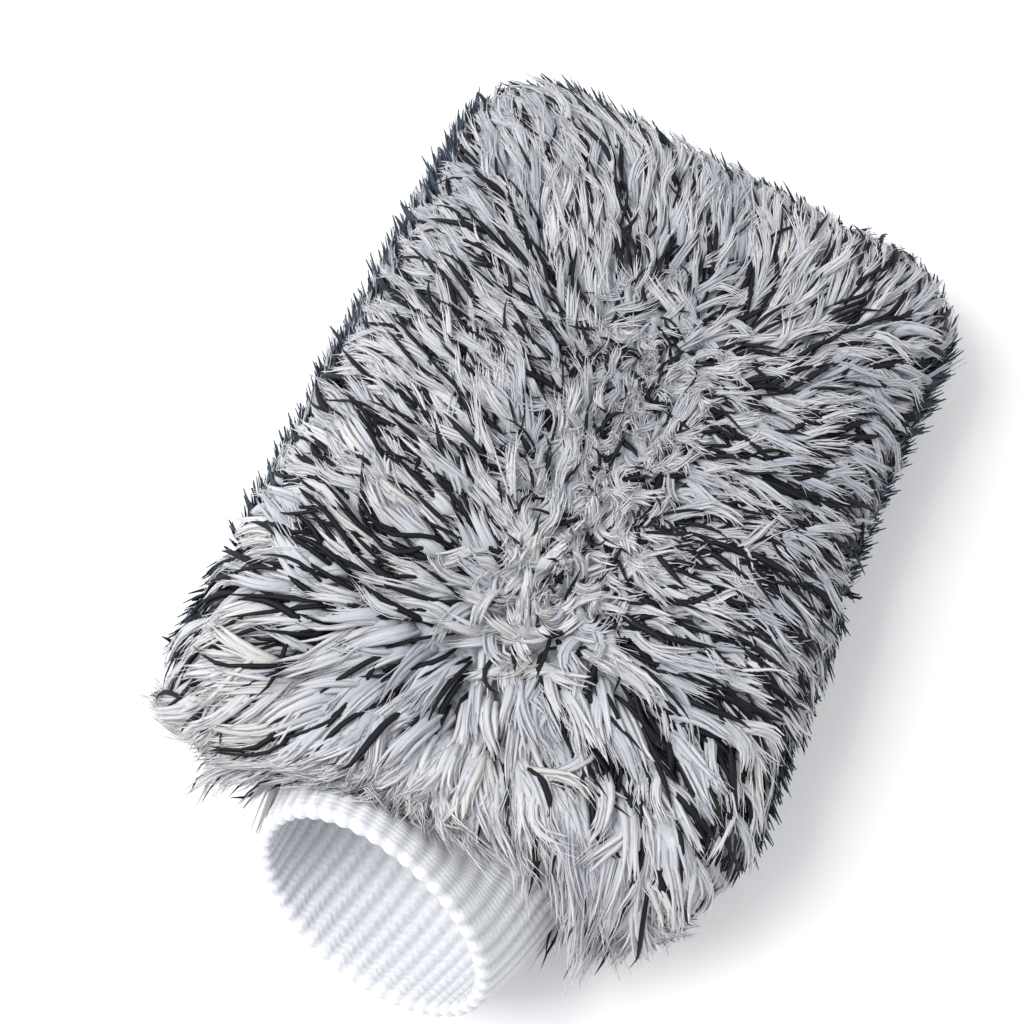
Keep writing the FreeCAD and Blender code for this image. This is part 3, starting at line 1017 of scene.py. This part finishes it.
def half_bag(name, half, corner, edge, top, thickness, wrinkle, sewn_at, material, node):
    """One half of a sewn bag, its mouth drawn to the cuff's base, sewn_at in from the cuff's outside."""
    sign = 1.0 if top else -1.0
    points, quads, cap = bag_mesh(half, corner, edge, top, 8, 48, 15)
    across, lengthwise = points[:, 0], points[:, 1]
    fold = np.sin(across * 0.11 + 1.3 * np.sin(lengthwise * 0.05)) * np.sin(lengthwise * 0.07 + 0.6)
    points[:, 2] -= sign * wrinkle * (0.5 + 0.5 * fold) * np.clip(np.abs(points[:, 2]) / half[2], 0, 1)
    centre = points[quads].mean(axis=1)
    wide, high = CUFF_BASE_HALF[0] - sewn_at, CUFF_BASE_HALF[1] - sewn_at
    kept = ~((centre[:, 1] < -half[1] + edge) & (np.abs(centre[:, 0]) < wide))
    lip = edge_points(quads, kept)
    angle = np.arctan2(points[lip, 2] / high, points[lip, 0] / wide)
    placed = worn_shape(points + BODY_MIDDLE)
    rim = np.stack([wide * np.cos(angle), np.full(len(lip), LIP_OVERLAP), high * np.sin(angle)], axis=1)
    placed[lip] = CUFF_BASE + rim
    piece = cut_cloth(name, placed, quads[kept], cap, thickness, material)
    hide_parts(node)


def make_bags():
    """The ground cloths, sewn to the cuff's outer ply, and the wrinkled linings, sewn to its inner ply."""
    ground = woven_cloth("knitted_ground_navy", "#3A4654", "#1F2731", 1.2, 0.9, 0.2)
    lining = woven_cloth("woven_lining_white", "#E9EAEE", "#B9BBC4", 0.9, 0.7, 0.3)
    for side, top in (("back", True), ("palm", False)):
        half_bag(
            f"{side}_panel_knitted_ground", CLOTH_HALF, CLOTH_CORNER, CLOTH_EDGE, top, CLOTH_THICKNESS, 0.0,
            CUFF_PLY / 2, ground, f"{side}_ground_cloth",
        )
        half_bag(
            f"{side}_pocket_lining", LINER_HALF, LINER_CORNER, LINER_EDGE, top, LINER_THICKNESS, 0.5,
            CUFF_WALL - LINER_THICKNESS - RIB_DEPTH, lining, f"{side}_liner",
        )


# ---------------------------------------------------------------- the rib-knit cuff

RIBS = 44
POINTS_PER_RIB = 10
STITCH_PITCH = 1.9

# Rows of points down each face of the cuff, and in each face of the slot between its plies
FACE_ROWS = 64
SLOT_ROWS = 12

# How unevenly round the cuff stands at the rim
CUFF_SAG = 0.012


def make_cuff():
    """The cuff: one knit tube folded double at the wrist end, its two plies apart by a narrow slot."""
    around = RIBS * POINTS_PER_RIB
    fold = CUFF_WALL / 2
    outer = [(s, 0.0) for s in np.linspace(0, CUFF_LENGTH - fold, FACE_ROWS)]
    turn = [
        (CUFF_LENGTH - fold + fold * math.sin(a), fold * (1 - math.cos(a)))
        for a in np.linspace(0, math.pi, 12)[1:-1]
    ]
    inner = [(s, CUFF_WALL) for s in np.linspace(CUFF_LENGTH - fold, 0, FACE_ROWS)]
    slot_end = CUFF_LENGTH - fold - CUFF_PLY
    slot = [(s, CUFF_WALL - CUFF_PLY) for s in np.linspace(0, slot_end, SLOT_ROWS)]
    slot += [(s, CUFF_PLY) for s in np.linspace(slot_end, 0, SLOT_ROWS)]
    profile = np.array(outer + turn + inner + slot)
    knit_rows = len(outer) + len(turn) + len(inner)
    rows = len(profile)
    share = np.arange(around) / around
    angle = 2 * math.pi * share
    walk = np.concatenate([[0], np.cumsum(np.hypot(*np.diff(profile[:knit_rows], axis=0).T))])
    distance = np.concatenate([walk, np.zeros(rows - knit_rows)])
    wale = 2 * math.pi * RIBS * share
    is_knit = (np.arange(rows) < knit_rows)[:, None]
    ridge = np.where(is_knit, 0.5 - 0.5 * np.cos(wale)[None, :], 0.0)
    relief = np.where(is_knit, RIB_DEPTH * (ridge**0.8 - 1), 0.0)
    slant = 0.42 * np.abs(np.cos(wale / 2))
    stitch = distance[:, None] / STITCH_PITCH + slant[None, :]

    centres, across, up, along, half = cuff_line(profile[:, 0])
    direction = np.gradient(profile, axis=0)
    facing = unit(np.stack([direction[:, 1], -direction[:, 0]], axis=1))
    facing[:len(outer) - 1] = (0, -1)
    facing[knit_rows - len(inner) + 1:] = (0, 1)
    inset = profile[:, 1][:, None] + facing[:, 1][:, None] * relief
    ahead = facing[:, 0][:, None] * relief
    wide = half[:, 0][:, None] - inset
    high = half[:, 1][:, None] - inset
    sag = 1 + CUFF_SAG * np.sin(3 * angle + 0.7)[None, :] * (profile[:, 0] / CUFF_LENGTH)[:, None]
    points = (
        centres[:, None]
        + across[:, None] * (wide * sag * np.cos(angle))[..., None]
        + up[:, None] * (high * sag * np.sin(angle))[..., None]
        + along[:, None] * ahead[..., None]
    )
    quads = grid_faces(rows, around, wrap_rows=True)
    piece = finish_piece(
        "rib_cuff_folded_knit",
        points.reshape(-1, 3),
        quads.ravel(),
        np.arange(len(quads)) * 4,
        {"rib_height": ridge, "stitch": stitch},
        rib_knit(),
    )
    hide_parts("rib_cuff")


def dress_threads():
    """Materials of the threads and yarns that stay as the frame has them."""
    thread = twisted_yarn("spun_polyester_thread", "#E8E9EC", "#A6A9B3", 0.75)
    elastic = twisted_yarn("covered_elastic_yarn", "#E3E0D8", "#A9A59A", 0.65)
    nodes = {
        "edge_seam_stitches": thread,
        "liner_seam_stitches": thread,
        "cuff_join_stitches": thread,
        "cuff_elastic_yarns": elastic,
    }
    for node, material in nodes.items():
        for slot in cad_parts[node].material_slots:
            slot.material = material


# ---------------------------------------------------------------- studio


def make_floor():
    """A plain pale floor, wide enough to fill the view."""
    material, tree = new_material("studio_floor_pale")
    place = add(tree, "ShaderNodeTexCoord")
    mottle = add(
        tree, "ShaderNodeTexNoise", {"Scale": 3.0, "Detail": 2.0}, {"Vector": place.outputs["Object"]}
    )
    colour = add(
        tree,
        "ShaderNodeValToRGB",
        {"stops": [(0.3, "#F7F7F7"), (0.7, "#FFFFFF")]},
        {"Fac": mottle.outputs["Fac"]},
    )
    finish_surface(tree, {"Roughness": 0.9, "Specular IOR Level": 0.1}, colour.outputs["Color"])
    reach = 4.0
    corners = [(-reach, -reach, 0), (reach, -reach, 0), (reach, reach, 0), (-reach, reach, 0)]
    mesh = bpy.data.meshes.new("studio_floor")
    mesh.from_pydata(corners, [], [(0, 1, 2, 3)])
    mesh.materials.append(material)
    floor = bpy.data.objects.new("studio_floor", mesh)
    bpy.context.scene.collection.objects.link(floor)


def soft_light(name, place, size, power, target):
    """A large square light that faces a target."""
    lamp = bpy.data.lights.new(name, "AREA")
    lamp.size = size
    lamp.energy = power
    light = bpy.data.objects.new(name, lamp)
    light.location = place
    light.rotation_euler = (Vector(target) - Vector(place)).to_track_quat("-Z", "Y").to_euler()
    bpy.context.scene.collection.objects.link(light)


def make_lights():
    """A window's soft light from the left, a weaker fill from the right, and a pale sky all round."""
    middle = tuple(BODY_MIDDLE * MM)
    soft_light("window_light", (-1.0, -0.3, 1.2), 0.8, 22.0, middle)
    soft_light("fill_light", (1.0, 0.9, 1.2), 1.4, 4.0, middle)
    world = bpy.data.worlds.new("studio_world")
    world.use_nodes = True
    background = world.node_tree.nodes["Background"]
    background.inputs["Color"].default_value = linear("#F8F9FC")
    background.inputs["Strength"].default_value = 0.75
    bpy.context.scene.world = world
    bpy.context.scene.view_settings.view_transform = "Standard"


# Middle of the view, from the body's middle
VIEW_OFFSET = np.array([-18.3, -19.3, 0.0])


def make_camera():
    """Looks down on the back of the hand from the wrist side, rolled so that the fingers point up right."""
    elevation = math.radians(75.0)
    roll = math.radians(25.8)
    distance = 0.446
    target = Vector((BODY_MIDDLE + VIEW_OFFSET) * MM)
    back = Vector((0.0, -math.cos(elevation), math.sin(elevation)))
    right = Vector((1.0, 0.0, 0.0))
    up = back.cross(right)
    rolled_right = right * math.cos(roll) + up * math.sin(roll)
    rolled_up = up * math.cos(roll) - right * math.sin(roll)
    lens = bpy.data.cameras.new("camera")
    lens.sensor_width = 36.0
    lens.lens = 50.0
    camera = bpy.data.objects.new("camera", lens)
    axes = Matrix((rolled_right, rolled_up, back)).transposed().to_4x4()
    camera.matrix_world = Matrix.Translation(target + back * distance) @ axes
    bpy.context.scene.collection.objects.link(camera)
    bpy.context.scene.camera = camera


make_camera()
make_floor()
make_lights()
make_cuff()
make_bags()
make_pile()
dress_threads()
